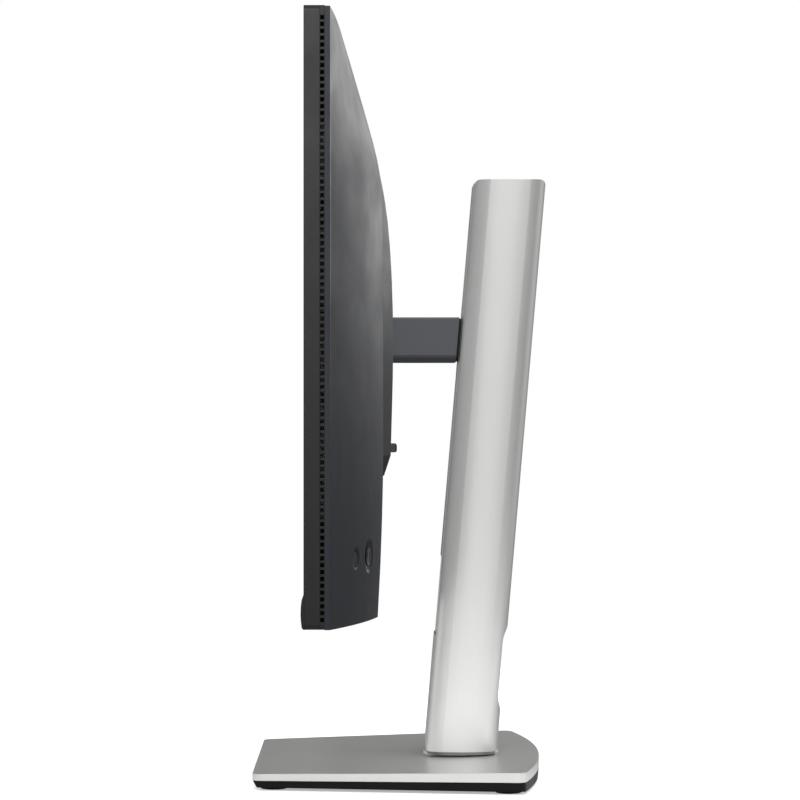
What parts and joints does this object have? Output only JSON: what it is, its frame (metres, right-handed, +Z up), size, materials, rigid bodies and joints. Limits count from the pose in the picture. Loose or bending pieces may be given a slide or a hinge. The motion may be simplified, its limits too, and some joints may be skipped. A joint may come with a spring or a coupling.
{
  "type": "computer monitor",
  "caption": "Flat-panel desktop monitor on a leaning column stand with a wedge-shaped base; it slides up and down, tilts, swivels and turns.",
  "frame": {"origin": "on the desk, on the swivel axis under the column", "axes": "+X to the viewer's right when facing the screen, +Y towards the back, +Z up; the screen faces -Y"},
  "size_m": [0.6112, 0.1904, 0.4737],
  "materials": {
    "silver_metal": "satin",
    "silver_plate": "satin",
    "trim_grey": "satin",
    "tray_black": "matte",
    "foot_rubber": "matte",
    "screw_steel": "satin",
    "slide_plastic": "satin",
    "cast_metal": "matte",
    "spring_steel": "satin",
    "arm_plastic": "matte",
    "arm_dark": "matte",
    "gasket_rubber": "matte",
    "cover_plastic": "textured matte",
    "frame_plastic": "textured matte",
    "bezel_plastic": "satin",
    "band_plastic": "matte",
    "head_metal": "satin",
    "screen_glass": "anti-glare",
    "film_white": "matte",
    "guide_acrylic": "polished",
    "sheet_steel": "galvanised",
    "board_green": "solder mask",
    "connector_metal": "plated",
    "inlet_black": "satin",
    "button_black": "satin",
    "nut_brass": "satin"
  },
  "bodies": {
    "base": {"base_plate": "silver_plate", "base_tray": "tray_black", "base_feet": "foot_rubber", "tray_screws": "screw_steel", "swivel_washer": "slide_plastic"},
    "column": {"column_shell": "silver_metal", "column_cap": "silver_metal", "column_foot": "cast_metal", "lock_disc": "screw_steel", "slider_trim": "trim_grey", "lower_trim": "trim_grey", "cable_duct": "arm_dark", "guide_rods": "screw_steel", "rod_brackets": "sheet_steel"},
    "stand_screw": {"stand_screw": "screw_steel"},
    "screw_ring": {"screw_ring": "screw_steel"},
    "carriage": {"carriage": "cast_metal", "glide_bushes": "slide_plastic", "arm_core": "cast_metal", "arm_cover": "arm_plastic", "arm_underside": "arm_dark", "arm_gasket": "gasket_rubber", "tilt_pin": "screw_steel", "friction_washers": "spring_steel"},
    "spring_drum": {"spring_drum": "slide_plastic", "spring_coil": "spring_steel"},
    "tilt_head": {"tilt_yoke": "sheet_steel", "pivot_shaft": "screw_steel", "pivot_washers": "slide_plastic", "pivot_nut": "screw_steel"},
    "display": {"head_plate": "head_metal", "vesa_bracket": "sheet_steel", "vesa_nuts": "nut_brass", "front_frame": "frame_plastic", "bottom_bezel": "bezel_plastic", "vent_band": "band_plastic", "rear_cover": "cover_plastic", "lcd_glass": "screen_glass", "optical_films": "film_white", "light_guide": "guide_acrylic", "reflector_sheet": "film_white", "led_bar": "board_green", "module_pan": "sheet_steel", "main_chassis": "sheet_steel", "chassis_screws": "screw_steel", "main_board": "board_green", "port_block": "connector_metal", "power_board": "board_green", "power_inlet": "inlet_black", "control_board": "board_green"},
    "release_button": {"release_button": "button_black"},
    "release_latch": {"release_latch": "sheet_steel"},
    "power_button": {"power_button": "button_black"},
    "stick_plunger": {"stick_plunger": "inlet_black"},
    "stick_gimbal": {"stick_gimbal": "screw_steel"},
    "stick_cap": {"stick_cap": "button_black"}
  },
  "joints": [
    {"name": "base_swivel", "type": "hinge", "parent": "base", "child": "column", "pos_m": [0, 0, 0], "axis": [0, 0, 1], "range_deg": [-45, 45]},
    {"name": "stand_screw_turn", "type": "hinge", "parent": "column", "child": "stand_screw", "pos_m": [0, 0, 0], "axis": [0, 0, 1], "continuous": true},
    {"name": "screw_ring_fold", "type": "hinge", "parent": "stand_screw", "child": "screw_ring", "pos_m": [0, 0.007, 0.0025], "axis": [1, 0, 0], "range_deg": [0, 90]},
    {"name": "height_slide", "type": "slide", "parent": "column", "child": "carriage", "axis": [0, 0.0856, 0.9963], "range_m": [-0.089, 0.061]},
    {"name": "spring_drum_turn", "type": "hinge", "parent": "carriage", "child": "spring_drum", "pos_m": [0, 0.0256, 0.26767], "axis": [1, 0, 0], "range_deg": [-360, 250]},
    {"name": "display_tilt", "type": "hinge", "parent": "carriage", "child": "tilt_head", "pos_m": [0, -0.056, 0.2876], "axis": [-1, 0, 0], "range_deg": [-5, 21]},
    {"name": "display_pivot", "type": "hinge", "parent": "tilt_head", "child": "display", "pos_m": [0, -0.066, 0.2876], "axis": [0, 1, 0], "range_deg": [-4, 25]},
    {"name": "release_press", "type": "slide", "parent": "display", "child": "release_button", "axis": [0, -1, 0], "range_m": [0, 0.0025], "stiffness_N_per_m": 400},
    {"name": "latch_draw", "type": "slide", "parent": "display", "child": "release_latch", "axis": [0, 0, -1], "range_m": [0, 0.0025]},
    {"name": "power_press", "type": "slide", "parent": "display", "child": "power_button", "axis": [-0.2822, -0.9594, 0], "range_m": [0, 0.0008], "stiffness_N_per_m": 600},
    {"name": "stick_press", "type": "slide", "parent": "display", "child": "stick_plunger", "axis": [-0.2252, -0.9743, 0], "range_m": [0, 0.0005], "stiffness_N_per_m": 600},
    {"name": "stick_rock_side", "type": "hinge", "parent": "stick_plunger", "child": "stick_gimbal", "pos_m": [0.23383, -0.06502, 0.1555], "axis": [0, 0, 1], "range_deg": [-6, 6], "stiffness_Nm_per_rad": 0.01},
    {"name": "stick_rock_up", "type": "hinge", "parent": "stick_gimbal", "child": "stick_cap", "pos_m": [0.23383, -0.06502, 0.1555], "axis": [0.9743, -0.2252, 0], "range_deg": [-6, 6], "stiffness_Nm_per_rad": 0.01}
  ],
  "couplings": [
    {"joint": "spring_drum_turn", "follows": "height_slide", "rad_per_m": 69.93},
    {"joint": "latch_draw", "follows": "release_press", "ratio": 1}
  ]
}
